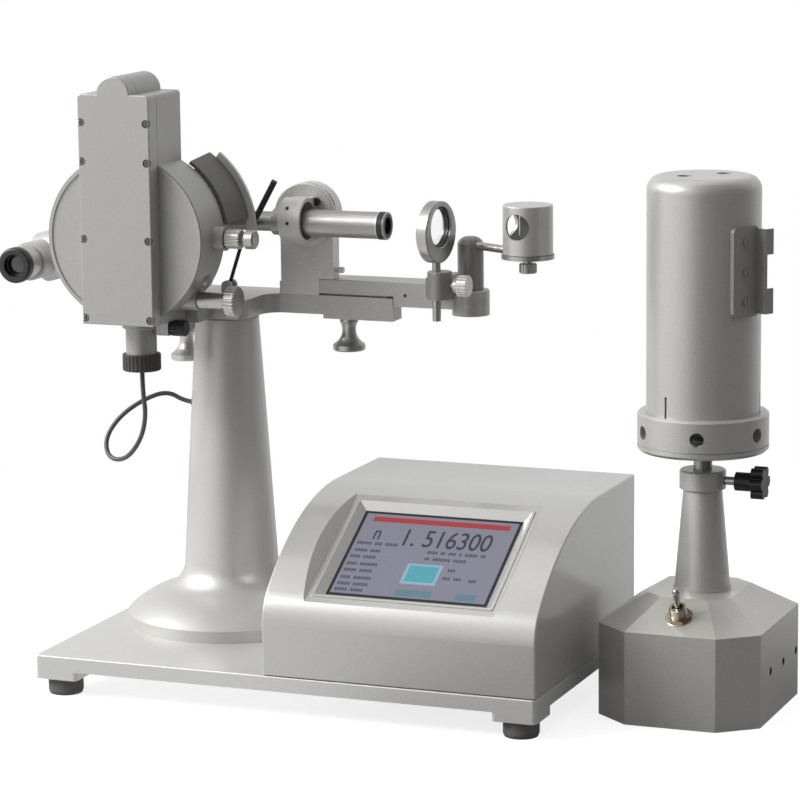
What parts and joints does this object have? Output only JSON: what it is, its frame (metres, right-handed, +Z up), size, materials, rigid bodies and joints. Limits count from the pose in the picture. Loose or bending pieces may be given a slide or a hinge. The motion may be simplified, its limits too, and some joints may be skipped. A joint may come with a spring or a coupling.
{
  "type": "v-prism refractometer",
  "caption": "Bench V-prism refractometer: telescope and encoder drum on a column, collimator arm with lens and mirror, display console, separate spectral lamp.",
  "frame": {"origin": "on the bench, under the middle of the whole set's footprint, lamp and telescope included", "axes": "+X to the right along the optical axis from the telescope towards the lamp, +Y to the back, +Z up"},
  "size_m": [0.5974, 0.246, 0.4525],
  "materials": {
    "light_paint": "warm light grey paint, satin",
    "grey_casting": "mid grey paint, satin",
    "drum_paint": "mid grey paint, satin",
    "console_paint": "warm light grey paint, fine texture",
    "lamp_paint": "beige grey paint, satin",
    "dark_paint": "dark grey paint, matt",
    "satin_chrome": "satin chrome",
    "bright_chrome": "bright chrome",
    "steel": "turned steel",
    "aluminium": "satin anodised",
    "black_plastic": "matt black",
    "rubber": "matt dark rubber",
    "glass": "clear polished glass",
    "panel_glass": "lit display behind glass",
    "mirror": "silvered",
    "bearing_steel": "ground steel",
    "cable_grey": "matt dark grey sheath"
  },
  "bodies": {
    "stand": {"base_plate": "light_paint", "rubber_feet": "rubber", "column": "light_paint", "cable_grommet": "rubber", "console_shell": "console_paint", "screen_bezel": "console_paint", "display_panel": "panel_glass", "cross_arm": "grey_casting", "rail_bar": "grey_casting", "collimator_post": "light_paint", "mirror_bracket": "grey_casting", "drum_housing": "drum_paint", "encoder_cover": "drum_paint", "cover_screws": "steel", "cable_connector": "satin_chrome", "connector_nut": "black_plastic", "signal_cable": "cable_grey", "shaft_bearings": "bearing_steel", "reading_head": "black_plastic", "prism_seat": "dark_paint", "v_prism": "glass"},
    "telescope": {"main_shaft": "steel", "encoder_disc": "glass", "telescope_arm": "dark_paint", "telescope_tube": "drum_paint", "telescope_elbow": "light_paint", "telescope_lens": "glass"},
    "eyepiece": {"eyepiece_tube": "dark_paint", "eyecup": "black_plastic"},
    "hood": {"prism_hood": "dark_paint", "hood_flange": "drum_paint"},
    "clamp_knob": {"telescope_clamp_knob": "satin_chrome"},
    "slow_knob": {"slow_motion_knob": "satin_chrome"},
    "fine_adjuster": {"fine_knob": "black_plastic"},
    "lever": {"hand_lever": "black_plastic"},
    "collimator": {"collimator_head": "light_paint", "collimator_tube": "light_paint", "slit_cap": "black_plastic", "collimator_lens": "glass"},
    "lens_slider": {"lens_carrier": "drum_paint"},
    "lens": {"lens_ring": "light_paint", "condenser_lens": "glass"},
    "stem_screw": {"stem_clamp_screw": "satin_chrome"},
    "mirror_arm": {"mirror_post": "drum_paint", "mirror_rod": "satin_chrome"},
    "mirror_head": {"mirror_housing": "light_paint", "lamp_mirror": "mirror", "mirror_thumb_screw": "satin_chrome"},
    "arm_clamp": {"arm_clamp_knob": "black_plastic"},
    "rear_clamp": {"rear_clamp_knob": "black_plastic"},
    "lamp_stand": {"lamp_base": "lamp_paint", "lamp_post": "lamp_paint", "toggle_bush": "bright_chrome"},
    "lamp_lift": {"lamp_stem": "steel"},
    "lamp_house": {"lamp_ring": "lamp_paint", "lamp_shell": "lamp_paint", "lamp_bracket": "lamp_paint", "spectral_lamp": "glass"},
    "star_clamp": {"star_knob": "black_plastic"},
    "switch": {"toggle_lever": "bright_chrome"}
  },
  "joints": [
    {"name": "telescope_turn", "type": "hinge", "parent": "stand", "child": "telescope", "pos_m": [-0.17581, 0, 0.3327], "axis": [0, 1, 0], "range_deg": [-26, 54]},
    {"name": "eyepiece_focus", "type": "slide", "parent": "telescope", "child": "eyepiece", "axis": [0, -1, 0], "range_m": [-0.003, 0.003]},
    {"name": "hood_turn", "type": "hinge", "parent": "stand", "child": "hood", "pos_m": [-0.17581, 0, 0.3327], "axis": [0, -1, 0], "range_deg": [0, 60]},
    {"name": "telescope_clamp_turn", "type": "hinge", "parent": "stand", "child": "clamp_knob", "pos_m": [-0.09581, -0.037, 0.3327], "axis": [1, 0, 0], "range_deg": [-90, 90]},
    {"name": "slow_motion_turn", "type": "hinge", "parent": "stand", "child": "slow_knob", "pos_m": [-0.10181, -0.037, 0.2864], "axis": [1, 0, 0], "continuous": true},
    {"name": "fine_knob_turn", "type": "hinge", "parent": "stand", "child": "fine_adjuster", "pos_m": [-0.14281, -0.037, 0.2647], "axis": [1, 0, 0], "continuous": true},
    {"name": "hand_lever_swing", "type": "hinge", "parent": "stand", "child": "lever", "pos_m": [-0.12751, 0.014, 0.2904], "axis": [0, 1, 0], "range_deg": [-30, 4]},
    {"name": "collimator_tilt", "type": "hinge", "parent": "stand", "child": "collimator", "pos_m": [-0.07841, 0.054, 0.3413], "axis": [0, 1, 0], "range_deg": [-2, 2]},
    {"name": "lens_along_rail", "type": "slide", "parent": "stand", "child": "lens_slider", "axis": [1, 0, 0], "range_m": [-0.028, 0]},
    {"name": "lens_height", "type": "slide", "parent": "lens_slider", "child": "lens", "axis": [0, 0, 1], "range_m": [-0.004, 0.008]},
    {"name": "stem_clamp_turn", "type": "hinge", "parent": "lens_slider", "child": "stem_screw", "pos_m": [0.05519, 0.027, 0.2958], "axis": [1, 0, 0], "range_deg": [-90, 90]},
    {"name": "mirror_arm_swing", "type": "hinge", "parent": "stand", "child": "mirror_arm", "pos_m": [0.04869, 0.058, 0.3], "axis": [0, 0, 1], "range_deg": [-35, 90]},
    {"name": "mirror_turn", "type": "hinge", "parent": "mirror_arm", "child": "mirror_head", "pos_m": [0.10469, 0.027, 0.34], "axis": [0, 0, 1], "range_deg": [-90, 90]},
    {"name": "arm_clamp_turn", "type": "hinge", "parent": "stand", "child": "arm_clamp", "pos_m": [-0.05061, 0.061, 0.25], "axis": [0, 0, 1], "range_deg": [-180, 180]},
    {"name": "rear_clamp_turn", "type": "hinge", "parent": "stand", "child": "rear_clamp", "pos_m": [-0.18581, 0.061, 0.24], "axis": [0, 0, 1], "range_deg": [-180, 180]},
    {"name": "lamp_on_bench", "type": "slide", "parent": "stand", "child": "lamp_stand", "axis": [1, 0, 0], "range_m": [-0.01, 0.15]},
    {"name": "lamp_lift", "type": "slide", "parent": "lamp_stand", "child": "lamp_lift", "axis": [0, 0, 1], "range_m": [-0.01, 0.035]},
    {"name": "lamp_house_turn", "type": "hinge", "parent": "lamp_lift", "child": "lamp_house", "pos_m": [0.24069, 0.016, 0.2], "axis": [0, 0, 1], "range_deg": [-90, 90]},
    {"name": "star_knob_turn", "type": "hinge", "parent": "lamp_stand", "child": "star_clamp", "pos_m": [0.27019, 0.016, 0.166], "axis": [1, 0, 0], "range_deg": [-180, 180]},
    {"name": "toggle_flip", "type": "hinge", "parent": "lamp_stand", "child": "switch", "pos_m": [0.24019, -0.04208, 0.08271], "axis": [1, 0, 0], "range_deg": [0, 24]}
  ]
}
